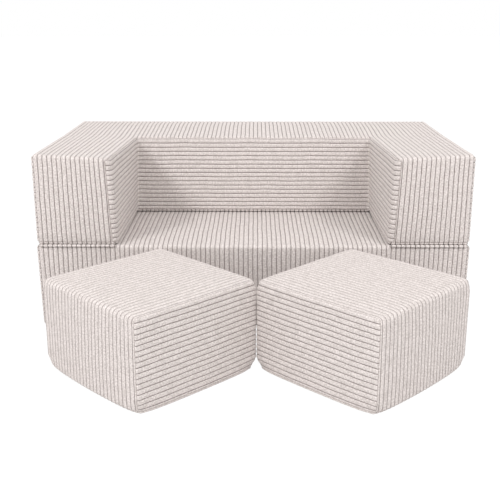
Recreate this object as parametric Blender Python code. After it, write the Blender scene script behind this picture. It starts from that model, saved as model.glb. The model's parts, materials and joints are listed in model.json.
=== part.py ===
"""Kids' fold-out sofa in wide-wale corduroy.

A seat block carries a U-shaped block (a back and two arms) that is sewn to it along the arms' lower
front edges and folds forward about that seam. Two square poufs stand in front. Unfolded, the U lies
upside down on the floor ahead of the seat, and the poufs fill the U's hollow, so the four blocks make
a mattress. Every block is a foam core in a zipped cover, and each cover is sewn from flat panels.

The origin is on the floor, at the middle of the seat block's underside. X runs to the right as one
faces the sofa, Y runs to its rear and Z is up. Lengths are in metres.
"""

import math

import bmesh
import bpy
from mathutils import Matrix, Vector

# Blocks
SOFA_WIDTH = 1.0
SOFA_DEPTH = 0.6
BLOCK_HEIGHT = 0.2
POUF_SIDE = 0.306
POUF_HEIGHT = 0.2
POUF_CLEARANCE = 0.002
CAVITY_SPLAY = 0.0055
CAVITY_WIDTH_REAR = 2 * POUF_SIDE + POUF_CLEARANCE
CAVITY_WIDTH_FRONT = CAVITY_WIDTH_REAR + 2 * CAVITY_SPLAY
CAVITY_DEPTH = POUF_SIDE + POUF_CLEARANCE

# Where the two loose poufs stand: middle of the underside, and the turn of the pouf's own X axis
POUF_AHEAD = 0.225
LEFT_POUF_ACROSS = 0.2128
RIGHT_POUF_ACROSS = 0.2284
LEFT_POUF_TURN = math.radians(-45.5)
RIGHT_POUF_TURN = math.radians(46.0)

# Covers
FABRIC = 0.0025
GAP = 0.0003
SEAT_EDGE_RADIUS = 0.010
SEAT_RIM_RADIUS = 0.008
BACK_CORNER_RADIUS = 0.016
BACK_TOP_RADIUS = 0.014
BACK_BOTTOM_RADIUS = 0.009
POUF_EDGE_RADIUS = 0.018
POUF_RIM_RADIUS = 0.009
SIDE_PANEL_WRAP = 0.006
END_PANEL_WRAP = 0.008
GUSSET_WRAP = 0.014
SEAM_RISE = 0.006
BOTTOM_SEAM_RISE = 0.004
ROUND_STEPS = 3
RIM_STEPS = 2

# How far the stuffed faces stand out past their drawn-in edges
TOP_CROWN = 0.004
SIDE_CROWN = 0.003
FRONT_CROWN = 0.0015
CAVITY_CROWN = 0.001
SEAT_WELL_CROWN = 0.004
CROWN_REACH = 0.09
COVER_LINE_SHARES = (0.33, 1.0)
CORE_LINE_SHARES = (1.0,)
FLAT_FACE_SHARE = 0.3

# Fold seam between the seat and the arms
HINGE_BEAD_RADIUS = 0.004
HINGE_TAIL = 0.0065
HINGE_TAIL_HALF = 0.0005
HINGE_TAIL_ANGLE = math.radians(60)
HINGE_ARC_STEPS = 10
HINGE_END_MARGIN = 0.004

# Zips
SEAT_ZIP_LENGTH = 0.80
BACK_ZIP_LENGTH = 0.80
POUF_ZIP_LENGTH = 0.20
ZIP_HEIGHT = 0.034
ZIP_SLOT_WIDTH = 0.012
ZIP_TAPE = 0.0012
ZIP_TAPE_RECESS = 0.0010
ZIP_CHAIN_WIDTH = 0.004
ZIP_CHAIN_RISE = 0.0016
ZIP_CHAIN_STEPS = 5
SLIDER_LENGTH = 0.010
SLIDER_WIDTH = 0.0076
SLIDER_PLATE = 0.0015
SLIDER_END_ROOM = 0.003
SLIDER_BEVEL = 0.0008
LUG_RADIUS = 0.0011
LUG_HEAD_RADIUS = 0.0020
LUG_HEAD = 0.0008
LUG_SINK = 0.0008
LUG_SIDES = 8
PULL_LENGTH = 0.021
PULL_WIDTH = 0.0056
PULL_THICKNESS = 0.0011
PULL_BEVEL = 0.0018
PULL_BEVEL_STEPS = 2

# How far a helper reaches past what it cuts, and how near two points are that count as one
OVERRUN = 0.05
MERGE = 0.00005

# Two directions this near to each other count as the same
PARALLEL = math.cos(math.radians(1))
FACING = math.cos(math.radians(60))

# Places that follow from the sizes above
FRONT_Y = -SOFA_DEPTH / 2
REAR_Y = SOFA_DEPTH / 2
HINGE_Z = BLOCK_HEIGHT
SEAT_TOP = HINGE_Z - GAP / 2
BACK_BOTTOM = HINGE_Z + GAP / 2
BACK_TOP_EDGE = HINGE_Z + BLOCK_HEIGHT - TOP_CROWN
SIDE_X = SOFA_WIDTH / 2 - SIDE_CROWN
FACE_Y = FRONT_Y + FRONT_CROWN
CAVITY_Y = FRONT_Y + CAVITY_DEPTH
SKIN = FABRIC + GAP

# Finishes: colour, roughness and metallic value
CORDUROY = ((0.745, 0.672, 0.645), 0.95, 0.0)
FOAM = ((0.86, 0.80, 0.62), 0.9, 0.0)
TAPE = ((0.62, 0.55, 0.52), 0.8, 0.0)
NICKEL = ((0.62, 0.61, 0.59), 0.3, 1.0)


def collection(name):
    made = bpy.data.collections.new(name)
    bpy.context.scene.collection.children.link(made)
    return made


def material(name, colour, roughness, metallic=0.0):
    made = bpy.data.materials.new(name)
    made.use_nodes = True
    shader = made.node_tree.nodes["Principled BSDF"]
    shader.inputs["Base Color"].default_value = (*colour, 1.0)
    shader.inputs["Roughness"].default_value = roughness
    shader.inputs["Metallic"].default_value = metallic
    return made


def empty(name, matrix, group):
    made = bpy.data.objects.new(name, None)
    made.matrix_world = matrix
    group.objects.link(made)
    return made


def mesh_from(bm, name):
    mesh = bpy.data.meshes.new(name)
    bmesh.ops.recalc_face_normals(bm, faces=bm.faces)
    bm.to_mesh(mesh)
    bm.free()
    return mesh


def add_node(name, mesh, group, finish, parent=None, place=Matrix.Identity(4)):
    """A named sub-part with its own material; place is its pose in the parent's frame."""
    made = bpy.data.objects.new(name, mesh)
    group.objects.link(made)
    made.parent = parent
    made.matrix_basis = place
    colour, roughness, metallic = finish
    own = material(name + "_material", colour, roughness, metallic)
    if not mesh.materials:
        mesh.materials.append(None)
    made.material_slots[0].link = "OBJECT"
    made.material_slots[0].material = own
    return made


def add_cutter(name, mesh, group, parent=None, place=Matrix.Identity(4)):
    made = bpy.data.objects.new(name, mesh)
    group.objects.link(made)
    made.parent = parent
    made.matrix_basis = place
    made.hide_render = True
    made.display_type = "WIRE"
    return made


def cuboid(low, high):
    """A closed box between two corners, started from the cube primitive."""
    low, high = Vector(low), Vector(high)
    bm = bmesh.new()
    bmesh.ops.create_cube(bm, size=1.0)
    size = high - low
    bmesh.ops.scale(bm, vec=size, verts=bm.verts)
    bmesh.ops.translate(bm, vec=(low + high) / 2, verts=bm.verts)
    return bm


def extruded(outline, along):
    """A flat outline pulled along a vector into a closed solid."""
    bm = bmesh.new()
    verts = [bm.verts.new(point) for point in outline]
    loop = [bm.edges.new((vert, verts[number - 1])) for number, vert in enumerate(verts)]
    face = bmesh.ops.edgeloop_fill(bm, edges=loop)["faces"][0]
    pulled = bmesh.ops.extrude_face_region(bm, geom=[face])["geom"]
    moved = [item for item in pulled if isinstance(item, bmesh.types.BMVert)]
    bmesh.ops.translate(bm, vec=along, verts=moved)
    return bm


def round_edges(bm, chosen, radius, steps):
    bmesh.ops.bevel(
        bm,
        geom=chosen,
        offset=radius,
        offset_type="OFFSET",
        segments=steps,
        profile=0.5,
        affect="EDGES",
        clamp_overlap=True,
        material=-1,
    )


def edges_along(bm, axis):
    """The edges that run parallel to one axis."""
    chosen = []
    for edge in bm.edges:
        run = (edge.verts[1].co - edge.verts[0].co).normalized()
        if abs(run[axis]) > PARALLEL:
            chosen.append(edge)
    return chosen


def edges_round_face(bm, direction):
    """The outline of the face that looks in one direction and lies furthest that way."""
    direction = Vector(direction)
    faces = [face for face in bm.faces if face.normal.dot(direction) > PARALLEL]
    outer = max(faces, key=lambda face: face.calc_center_median().dot(direction))
    return list(outer.edges)


def distance_to_edges(point, segments):
    """Shortest way from a point inside a face to the face's outline."""
    nearest = math.inf
    for start, end in segments:
        run = end - start
        share = min(max((point - start).dot(run) / run.length_squared, 0), 1)
        nearest = min(nearest, (point - start - share * run).length)
    return nearest


def crown_rise(distance, height):
    share = min(max(distance / CROWN_REACH, 0), 1)
    return height * (1 - (1 - share) ** 2)


def crown_lines(low, high, edge_radius, shares):
    """Places, from one side of a block to the other, where the mesh needs a line to follow the crown."""
    half = (high - low) / 2
    lines = []
    for share in shares:
        inset = edge_radius + share * CROWN_REACH
        if inset < half:
            lines += [low + inset, high - inset]
    if half < edge_radius + CROWN_REACH:
        lines.append(low + half)
    return lines


def stuff(bm, crown_of, lines, well=None):
    """Swells each flat face between its edges. crown_of gives a face's crown from its normal and middle.

    lines holds the places of the extra mesh lines along X, Y and Z. well is the rectangle of the top
    face, as (low x, high x, low y, high y), that swells alone because other blocks press on the rest.
    """
    bmesh.ops.remove_doubles(bm, verts=bm.verts, dist=MERGE)
    bm.normal_update()
    mark = bm.faces.layers.int.new("flat")
    records = {}
    smallest = FLAT_FACE_SHARE * BLOCK_HEIGHT**2
    for number, face in enumerate(bm.faces, start=1):
        if face.calc_area() > smallest:
            face[mark] = number
            outline = [(edge.verts[0].co.copy(), edge.verts[1].co.copy()) for edge in face.edges]
            normal = face.normal.copy()
            records[number] = (normal, outline, crown_of(normal, face.calc_center_median()))
    for axis, places in enumerate(lines):
        normal = Vector([float(axis == other) for other in range(3)])
        for place in places:
            geometry = bm.verts[:] + bm.edges[:] + bm.faces[:]
            bmesh.ops.bisect_plane(bm, geom=geometry, plane_co=normal * place, plane_no=normal)
    moves = {}
    for vert in bm.verts:
        numbers = {face[mark] for face in vert.link_faces}
        if len(numbers) != 1 or 0 in numbers:
            continue
        normal, outline, height = records[numbers.pop()]
        distance = distance_to_edges(vert.co, outline)
        if well and normal.z > 0:
            low_x, high_x, low_y, high_y = well
            point = vert.co
            distance = min(point.x - low_x, high_x - point.x, point.y - low_y, high_y - point.y)
        moves[vert] = normal * crown_rise(distance, height)
    for vert, move in moves.items():
        vert.co += move
    bmesh.ops.triangulate(bm, faces=bm.faces)
    return bm


def padded_block(low, high, wrap_radius, rim_radius, crown_of, shares, steps, well=None):
    """A foam block's form: four rounded edges along X, two rounded end rims, and crowned faces."""
    bm = cuboid(low, high)
    round_edges(bm, edges_along(bm, 0), wrap_radius, steps)
    bm.normal_update()
    ends = edges_round_face(bm, (1, 0, 0)) + edges_round_face(bm, (-1, 0, 0))
    round_edges(bm, ends, rim_radius, max(steps - 1, 1))
    lines = [
        crown_lines(low[0], high[0], rim_radius, shares),
        crown_lines(low[1], high[1], wrap_radius, shares),
        crown_lines(low[2], high[2], wrap_radius, shares),
    ]
    if well:
        low_x, high_x, low_y, high_y = well
        lines[0] += [low_x, high_x] + crown_lines(low_x, high_x, 0, shares)
        lines[1] += [high_y] + crown_lines(low_y, high_y, 0, shares)
    return stuff(bm, crown_of, lines, well)


def seat_crown(normal, _middle):
    if normal.z > FACING:
        return SEAT_WELL_CROWN
    if normal.y < -FACING:
        return FRONT_CROWN
    return SIDE_CROWN if abs(normal.x) > FACING else 0.0


def back_crown(normal, middle):
    if normal.z > FACING:
        return TOP_CROWN
    if normal.y < -FACING:
        return FRONT_CROWN if middle.y < (FRONT_Y + CAVITY_Y) / 2 else CAVITY_CROWN
    if abs(normal.x) > FACING:
        middle_of_arm = (CAVITY_WIDTH_FRONT + SOFA_WIDTH) / 4
        return SIDE_CROWN if abs(middle.x) > middle_of_arm else CAVITY_CROWN
    return 0.0


def pouf_crown(normal, _middle):
    if normal.z < -FACING:
        return 0.0
    return TOP_CROWN if normal.z > FACING else SIDE_CROWN


def seat_form(inset, shares, steps):
    """The seat block, as the cover's outside (inset zero) or, drawn in, as the foam's."""
    low = (-SIDE_X + inset, FACE_Y + inset, inset)
    high = (SIDE_X - inset, REAR_Y - inset, SEAT_TOP - inset)
    half = CAVITY_WIDTH_REAR / 2
    well = (-half, half, low[1] + SEAT_EDGE_RADIUS, CAVITY_Y)
    return padded_block(
        low, high, SEAT_EDGE_RADIUS - inset, SEAT_RIM_RADIUS - inset, seat_crown, shares, steps, well
    )


def pouf_form(inset, shares, steps):
    """A pouf in its own frame: the cover wraps round X, and the seams lie round its two X ends."""
    half = POUF_SIDE / 2 - SIDE_CROWN - inset
    low = (-half, -half, inset)
    high = (half, half, POUF_HEIGHT - TOP_CROWN - inset)
    return padded_block(
        low, high, POUF_EDGE_RADIUS - inset, POUF_RIM_RADIUS - inset, pouf_crown, shares, steps
    )


def back_outline(inset):
    """The U of back and arms seen from above, drawn in all round by inset."""
    side = SIDE_X - inset
    front = FACE_Y + inset
    rear = REAR_Y - inset
    wall = CAVITY_Y + inset
    rear_half = CAVITY_WIDTH_REAR / 2 + inset
    front_half = CAVITY_WIDTH_FRONT / 2 + inset
    return [
        (-side, front),
        (-front_half, front),
        (-rear_half, wall),
        (rear_half, wall),
        (front_half, front),
        (side, front),
        (side, rear),
        (-side, rear),
    ]


def back_form(inset, shares, steps):
    """The U-shaped block, as the cover's outside (inset zero) or, drawn in, as the foam's."""
    low = BACK_BOTTOM + inset
    high = BACK_TOP_EDGE - inset
    bm = extruded([(x, y, low) for x, y in back_outline(inset)], (0, 0, high - low))
    bmesh.ops.recalc_face_normals(bm, faces=bm.faces)
    corners = [edge for edge in edges_along(bm, 2) if not is_cavity_corner(edge, inset)]
    round_edges(bm, corners, BACK_CORNER_RADIUS - inset, steps)
    bm.normal_update()
    round_edges(bm, edges_round_face(bm, (0, 0, 1)), BACK_TOP_RADIUS - inset, steps)
    bm.normal_update()
    round_edges(bm, edges_round_face(bm, (0, 0, -1)), BACK_BOTTOM_RADIUS - inset, max(steps - 1, 1))
    arm_in = CAVITY_WIDTH_FRONT / 2 + inset
    right = crown_lines(arm_in, SIDE_X - inset, BACK_TOP_RADIUS, shares)
    wall = crown_lines(CAVITY_Y + inset, REAR_Y - inset, BACK_TOP_RADIUS, shares)
    ahead = [FACE_Y + BACK_CORNER_RADIUS + share * CROWN_REACH for share in shares]
    up = crown_lines(low, high, BACK_TOP_RADIUS, shares)
    across = [-x for x in right] + right
    return stuff(bm, back_crown, [across, wall + ahead, up])


def is_cavity_corner(edge, inset):
    """True for the two upright edges where the arms meet the back, which stay sharp."""
    point = edge.verts[0].co
    return abs(point.y - CAVITY_Y - inset) < MERGE and abs(point.x) < CAVITY_WIDTH_FRONT / 2 + inset


def cut_with(target, operation, cutter):
    cut = target.modifiers.new(cutter.name, "BOOLEAN")
    cut.operation = operation
    cut.object = cutter


def sew_panel(name, forms, regions, groups, parent):
    """One panel of a cover: the block's form less its hollow, inside the panel's own region."""
    parts, cutters = groups
    form, hollow = forms
    panel = add_node(name, form, parts, CORDUROY, parent)
    cut_with(panel, "DIFFERENCE", add_cutter(name + "_hollow", hollow, cutters, parent))
    for number, (operation, bm) in enumerate(regions):
        label = f"{name}_region_{number}"
        cut_with(panel, operation, add_cutter(label, mesh_from(bm, label), cutters, parent))


def box_cover(prefix, side_names, forms, half_width, groups, parent, slot):
    """Bottom, wrap and two end panels of a box cover. The end panels turn a little round the rim."""
    seam = half_width - SIDE_PANEL_WRAP
    far = half_width + OVERRUN
    reach = SOFA_DEPTH
    top = max(BLOCK_HEIGHT, POUF_HEIGHT) + OVERRUN
    low_seam = BOTTOM_SEAM_RISE - GAP / 2
    high_seam = BOTTOM_SEAM_RISE + GAP / 2
    below = cuboid((-far, -reach, -OVERRUN), (far, reach, low_seam))
    sew_panel(prefix + "bottom_panel", forms, [("INTERSECT", below)], groups, parent)
    between = cuboid((-seam + GAP / 2, -reach, high_seam), (seam - GAP / 2, reach, top))
    regions = [("INTERSECT", between), ("DIFFERENCE", slot)]
    sew_panel(prefix + "wrap_panel", forms, regions, groups, parent)
    for side, name in zip((-1, 1), side_names):
        ends = sorted((side * (seam + GAP / 2), side * far))
        beyond = cuboid((ends[0], -reach, high_seam), (ends[1], reach, top))
        sew_panel(prefix + name, forms, [("INTERSECT", beyond)], groups, parent)


def zip_slot(centre, length):
    """The opening in a panel's rear wall that a zip is sewn into."""
    half = Vector((length / 2, OVERRUN, ZIP_SLOT_WIDTH / 2))
    reach = Vector((half.x, SKIN + GAP, half.z))
    return cuboid(Vector(centre) - reach, Vector(centre) + half)


def zip_profile(length):
    """Tape with its closed chain of teeth, as a ridge; Y points out of the cover and X runs along."""
    half = ZIP_SLOT_WIDTH / 2 - GAP
    outer = -ZIP_TAPE_RECESS
    points = [(-half, outer - ZIP_TAPE), (half, outer - ZIP_TAPE), (half, outer)]
    for step in range(ZIP_CHAIN_STEPS + 1):
        angle = math.pi * step / ZIP_CHAIN_STEPS
        across = math.cos(angle) * ZIP_CHAIN_WIDTH / 2
        points.append((across, outer + math.sin(angle) * ZIP_CHAIN_RISE))
    points.append((-half, outer))
    start = -length / 2 + GAP
    return [(start, out, across) for across, out in points]


def slider_profile():
    """The slider's body seen along the zip: a roof over the chain with a wall down each side."""
    half = SLIDER_WIDTH / 2
    room = ZIP_CHAIN_WIDTH / 2 + GAP
    foot = -ZIP_TAPE_RECESS + GAP
    ceiling = -ZIP_TAPE_RECESS + ZIP_CHAIN_RISE + GAP
    roof = ceiling + SLIDER_PLATE
    points = [
        (-half, foot),
        (-room, foot),
        (-room, ceiling),
        (room, ceiling),
        (room, foot),
        (half, foot),
        (half, roof),
        (-half, roof),
    ]
    return [(0, out, across) for across, out in points], roof


def disc(radius, start, end):
    """A round solid along Y between two heights."""
    bm = bmesh.new()
    bmesh.ops.create_cone(
        bm, cap_ends=True, segments=LUG_SIDES, radius1=radius, radius2=radius, depth=end - start
    )
    turn = Matrix.Rotation(math.radians(90), 4, "X")
    bmesh.ops.transform(bm, matrix=Matrix.Translation((0, (start + end) / 2, 0)) @ turn, verts=bm.verts)
    return bm


def add_zip(prefix, length, centre, parent, groups):
    """Zip, slider and pull on a block's rear wall; centre is on the wall's outer face."""
    parts, cutters = groups
    place = Matrix.Translation(centre)
    tape = extruded(zip_profile(length), (length - 2 * GAP, 0, 0))
    add_node(prefix + "zip", mesh_from(tape, prefix + "zip"), parts, TAPE, parent, place)

    start = -length / 2 + SLIDER_END_ROOM
    points, roof = slider_profile()
    body = extruded(points, (SLIDER_LENGTH, 0, 0))
    crest = [edge for edge in body.edges if min(vert.co.y for vert in edge.verts) > roof - MERGE]
    round_edges(body, crest, SLIDER_BEVEL, 1)
    closed = empty(prefix + "slider_axis", Matrix.Identity(4), parts)
    closed.parent = parent
    closed.matrix_basis = place @ Matrix.Translation((start, 0, 0))
    name = prefix + "zip_slider"
    slider = add_node(name, mesh_from(body, name), parts, NICKEL, closed)
    lug_place = Matrix.Translation((SLIDER_LENGTH / 2, 0, 0))
    pull_low = roof + GAP
    pull_high = pull_low + PULL_THICKNESS
    lug = disc(LUG_RADIUS, roof - LUG_SINK, pull_high + GAP + LUG_HEAD)
    head = disc(LUG_HEAD_RADIUS, pull_high + GAP, pull_high + GAP + LUG_HEAD)
    for label, bm in (("lug", lug), ("lug_head", head)):
        name = prefix + label
        cut_with(slider, "UNION", add_cutter(name, mesh_from(bm, name), cutters, closed, lug_place))

    half = PULL_WIDTH / 2
    plate = cuboid((-half, pull_low, half - PULL_LENGTH), (half, pull_high, half))
    round_edges(plate, edges_along(plate, 1), PULL_BEVEL, PULL_BEVEL_STEPS)
    name = prefix + "zip_pull"
    pull = add_node(name, mesh_from(plate, name), parts, NICKEL, closed, lug_place)
    eye = disc(LUG_RADIUS + GAP, roof - LUG_SINK, pull_high + LUG_SINK)
    name = prefix + "eye"
    cut_with(pull, "DIFFERENCE", add_cutter(name, mesh_from(eye, name), cutters, closed, lug_place))


def build_seat(groups):
    parts, _ = groups
    centre = (0, REAR_Y, ZIP_HEIGHT)
    forms = (
        mesh_from(seat_form(0, COVER_LINE_SHARES, ROUND_STEPS), "seat_cover_form"),
        mesh_from(seat_form(FABRIC, CORE_LINE_SHARES, RIM_STEPS), "seat_cover_hollow"),
    )
    slot = zip_slot(centre, SEAT_ZIP_LENGTH)
    side_names = ("left_side_panel", "right_side_panel")
    box_cover("seat_", side_names, forms, SIDE_X, groups, None, slot)
    core = mesh_from(seat_form(SKIN, CORE_LINE_SHARES, RIM_STEPS), "seat_foam_core")
    add_node("seat_foam_core", core, parts, FOAM)
    add_zip("seat_", SEAT_ZIP_LENGTH, centre, None, groups)


def hinge_profile():
    """The fold seam's strip, seen along X: a round bead in front and a tail between the blocks."""
    points = [(HINGE_TAIL, HINGE_TAIL_HALF)]
    sweep = 2 * (math.pi - HINGE_TAIL_ANGLE)
    for step in range(HINGE_ARC_STEPS + 1):
        angle = HINGE_TAIL_ANGLE + sweep * step / HINGE_ARC_STEPS
        points.append((math.cos(angle) * HINGE_BEAD_RADIUS, math.sin(angle) * HINGE_BEAD_RADIUS))
    points.append((HINGE_TAIL, -HINGE_TAIL_HALF))
    return points


def build_hinges(groups):
    """The two corduroy strips that join the arms' lower front edges to the seat."""
    parts, _ = groups
    inner = CAVITY_WIDTH_FRONT / 2 + HINGE_END_MARGIN
    outer = SIDE_X - HINGE_END_MARGIN
    axis = empty("fold_axis_on_seat", Matrix.Translation((0, FRONT_Y, HINGE_Z)), parts)
    for side, name in ((-1, "left_hinge_strip"), (1, "right_hinge_strip")):
        start = min(side * inner, side * outer)
        strip = extruded([(start, y, z) for y, z in hinge_profile()], (outer - inner, 0, 0))
        add_node(name, mesh_from(strip, name), parts, CORDUROY, axis)


def build_back(groups):
    parts, cutters = groups
    axis = empty("fold_axis_on_back", Matrix.Translation((0, FRONT_Y, HINGE_Z)), parts)
    to_axis = Matrix.Translation((0, -FRONT_Y, -HINGE_Z))

    def moved(bm):
        bmesh.ops.transform(bm, matrix=to_axis, verts=bm.verts)
        return bm

    forms = (
        mesh_from(moved(back_form(0, COVER_LINE_SHARES, ROUND_STEPS)), "back_cover_form"),
        mesh_from(moved(back_form(FABRIC, CORE_LINE_SHARES, RIM_STEPS)), "back_cover_hollow"),
    )
    far_x = SIDE_X + OVERRUN
    front = FRONT_Y - OVERRUN
    rear = REAR_Y + OVERRUN
    top = BACK_TOP_EDGE + OVERRUN
    low_seam = BACK_BOTTOM + SEAM_RISE
    high_seam = BACK_TOP_EDGE - SEAM_RISE
    gusset_seam = CAVITY_WIDTH_FRONT / 2 + GUSSET_WRAP
    end_seam = SIDE_X - END_PANEL_WRAP
    wall_reach = BACK_TOP_RADIUS

    under = cuboid((-far_x, front, BACK_BOTTOM - OVERRUN), (far_x, rear, low_seam - GAP / 2))
    sew_panel("back_bottom_panel", forms, [("INTERSECT", moved(under))], groups, axis)

    inner = cuboid(
        (-gusset_seam + GAP / 2, front, low_seam + GAP / 2),
        (gusset_seam - GAP / 2, CAVITY_Y + wall_reach, high_seam - GAP / 2),
    )
    sew_panel("back_inner_gusset", forms, [("INTERSECT", moved(inner))], groups, axis)

    slab = cuboid((-far_x, front, low_seam + GAP / 2), (far_x, rear, high_seam - GAP / 2))
    heart = cuboid(
        (-end_seam - GAP / 2, front - OVERRUN, low_seam - OVERRUN),
        (end_seam + GAP / 2, REAR_Y - wall_reach, top),
    )
    centre = Vector((0, REAR_Y, HINGE_Z + ZIP_HEIGHT))
    regions = [
        ("INTERSECT", moved(slab)),
        ("DIFFERENCE", moved(heart)),
        ("DIFFERENCE", moved(zip_slot(centre, BACK_ZIP_LENGTH))),
    ]
    sew_panel("back_outer_gusset", forms, regions, groups, axis)

    above = cuboid((-far_x, front, low_seam + GAP / 2), (far_x, rear, top))
    middle = cuboid(
        (-gusset_seam - GAP / 2, front - OVERRUN, low_seam - OVERRUN),
        (gusset_seam + GAP / 2, rear + OVERRUN, high_seam + GAP / 2),
    )
    behind = cuboid(
        (-far_x - OVERRUN, FACE_Y + wall_reach, low_seam - OVERRUN),
        (far_x + OVERRUN, rear + OVERRUN, high_seam + GAP / 2),
    )
    regions = [("INTERSECT", moved(above)), ("DIFFERENCE", moved(middle)), ("DIFFERENCE", moved(behind))]
    for side in (-1, 1):
        ends = sorted((side * (end_seam - GAP / 2), side * (far_x + OVERRUN)))
        beside = cuboid(
            (ends[0], front - OVERRUN, low_seam - OVERRUN),
            (ends[1], rear + OVERRUN, high_seam + GAP / 2),
        )
        regions.append(("DIFFERENCE", moved(beside)))
    sew_panel("back_top_panel", forms, regions, groups, axis)

    foam = mesh_from(moved(back_form(SKIN, CORE_LINE_SHARES, RIM_STEPS)), "back_foam_form")
    glue_y = CAVITY_Y + SKIN
    blocks = (
        ("back_foam_core", (-far_x, glue_y + GAP / 2), (far_x, rear)),
        ("left_arm_foam_core", (-far_x, front), (0, glue_y - GAP / 2)),
        ("right_arm_foam_core", (0, front), (far_x, glue_y - GAP / 2)),
    )
    for name, low, high in blocks:
        core = add_node(name, foam, parts, FOAM, axis)
        label = name + "_glue_face"
        box = moved(cuboid((*low, BACK_BOTTOM - OVERRUN), (*high, top)))
        cut_with(core, "INTERSECT", add_cutter(label, mesh_from(box, label), cutters, axis))

    add_zip("back_", BACK_ZIP_LENGTH, to_axis @ centre, axis, groups)


def build_pouf(prefix, across, turn, side_names, groups):
    parts, _ = groups
    place = Matrix.Translation((across, FRONT_Y - POUF_AHEAD, 0)) @ Matrix.Rotation(turn, 4, "Z")
    frame = empty(prefix + "frame", place, parts)
    half = POUF_SIDE / 2 - SIDE_CROWN
    forms = (
        mesh_from(pouf_form(0, COVER_LINE_SHARES, ROUND_STEPS), prefix + "cover_form"),
        mesh_from(pouf_form(FABRIC, CORE_LINE_SHARES, RIM_STEPS), prefix + "cover_hollow"),
    )
    zip_wall = half + crown_rise(ZIP_HEIGHT - POUF_EDGE_RADIUS, SIDE_CROWN)
    centre = (0, zip_wall, ZIP_HEIGHT)
    slot = zip_slot(centre, POUF_ZIP_LENGTH)
    box_cover(prefix, side_names, forms, half, groups, frame, slot)
    core = mesh_from(pouf_form(SKIN, CORE_LINE_SHARES, RIM_STEPS), prefix + "foam_core")
    add_node(prefix + "foam_core", core, parts, FOAM, frame)
    add_zip(prefix, POUF_ZIP_LENGTH, centre, frame, groups)


def build():
    for old in list(bpy.data.objects):
        bpy.data.objects.remove(old, do_unlink=True)
    groups = (collection("kids_fold_out_sofa"), collection("cutters"))
    build_seat(groups)
    build_hinges(groups)
    build_back(groups)
    ahead, behind = "front_side_panel", "rear_side_panel"
    build_pouf("left_pouf_", -LEFT_POUF_ACROSS, LEFT_POUF_TURN, (behind, ahead), groups)
    build_pouf("right_pouf_", RIGHT_POUF_ACROSS, RIGHT_POUF_TURN, (ahead, behind), groups)


build()
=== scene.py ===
"""Looks of the kids' fold-out sofa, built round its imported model.

Each panel of the covers is a sheet of wide-wale corduroy. It starts as a flat grid whose lines follow the
wales, and is laid over its block's rounded faces with a ridge for every wale, drawn in along its seams. How
far the stuffed faces swell between their seams comes from a cloth simulation. Lengths are in metres.
"""

import json
import math

import bmesh
import bpy
import numpy as np
from mathutils import Matrix, Vector, kdtree


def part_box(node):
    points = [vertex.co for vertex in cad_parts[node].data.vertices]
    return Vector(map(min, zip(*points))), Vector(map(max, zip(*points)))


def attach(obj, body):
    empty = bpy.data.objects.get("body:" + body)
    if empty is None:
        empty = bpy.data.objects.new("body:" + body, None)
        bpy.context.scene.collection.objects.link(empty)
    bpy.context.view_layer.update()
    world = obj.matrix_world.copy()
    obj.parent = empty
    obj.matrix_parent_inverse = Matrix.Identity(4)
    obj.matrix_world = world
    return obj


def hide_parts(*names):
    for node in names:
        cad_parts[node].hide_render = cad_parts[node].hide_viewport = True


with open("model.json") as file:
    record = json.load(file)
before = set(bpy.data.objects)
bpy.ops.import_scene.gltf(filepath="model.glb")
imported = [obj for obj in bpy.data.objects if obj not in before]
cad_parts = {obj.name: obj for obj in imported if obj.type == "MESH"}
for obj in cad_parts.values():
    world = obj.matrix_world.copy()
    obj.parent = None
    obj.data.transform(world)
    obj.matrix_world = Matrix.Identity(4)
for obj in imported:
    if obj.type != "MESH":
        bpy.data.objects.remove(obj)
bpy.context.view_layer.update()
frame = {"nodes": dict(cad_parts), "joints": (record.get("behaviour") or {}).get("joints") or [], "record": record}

# Corduroy
WALE = 0.011
PILE = 0.0024
RIDGE_ROUNDNESS = 2.4
FINE_SHARES = (0.0, 0.06, 0.16, 0.33, 0.5, 0.67, 0.84, 0.94)
COARSE_SHARES = (0.0, 0.08, 0.24, 0.5, 0.76, 0.92)
CLOTH = 0.0012
WANDER = 0.00026

# Seams: how deep the cloth is drawn in, over what width, and the turned-in hem
TUCK = 0.0012
TUCK_REACH = 0.006
BEAD_REACH = 0.0035
HEM = 0.0022
SEAM_BAND = 0.005

# Spacing of the mesh lines along the wales
SEAM_STEP = 0.00125
ARC_STEP = 0.0022
RUN_STEP = 0.0185
HIDDEN_STEP = 0.03

# How near two places or points count as one, the share of a step that needs no line, and a least divisor
CLOSE = 0.0003
CORE_MERGE = 0.00003
CLOTH_MERGE = 0.000015
STEP_SLACK = 0.0003
TINY = 1e-12

# Blocks: sizes near the CAD's, with edges and crowns set for the cloth
GAP = 0.0003
SKIN = 0.0028
SIDE_CROWN = 0.002
FRONT_CROWN = 0.0015
TOP_CROWN = 0.003
CAVITY_CROWN = 0.001
SEAT_EDGE_RADIUS = 0.008
SEAT_RIM_RADIUS = 0.006
OUTER_CORNER = 0.010
INNER_CORNER = 0.016
BACK_TOP_RADIUS = 0.008
BACK_BOTTOM_RADIUS = 0.009
CAVITY_FILLET = 0.004
CAVITY_HALF_REAR = 0.307
CAVITY_HALF_FRONT = 0.3125
POUF_FOOT_RADIUS = 0.011
POUF_TOP_RADIUS = 0.011
POUF_RIM_RADIUS = 0.004
SEAT_PANEL_WRAP = 0.004
POUF_PANEL_WRAP = 0.002
END_PANEL_WRAP = 0.004
GUSSET_WRAP = 0.014
SEAM_RISE = 0.006
TOP_SEAM_DROP = 0.002
BOTTOM_SEAM_RISE = 0.004
POUF_HALF = 0.15
POUF_TOP = 0.1985
WELL_FADE = 0.02

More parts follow.
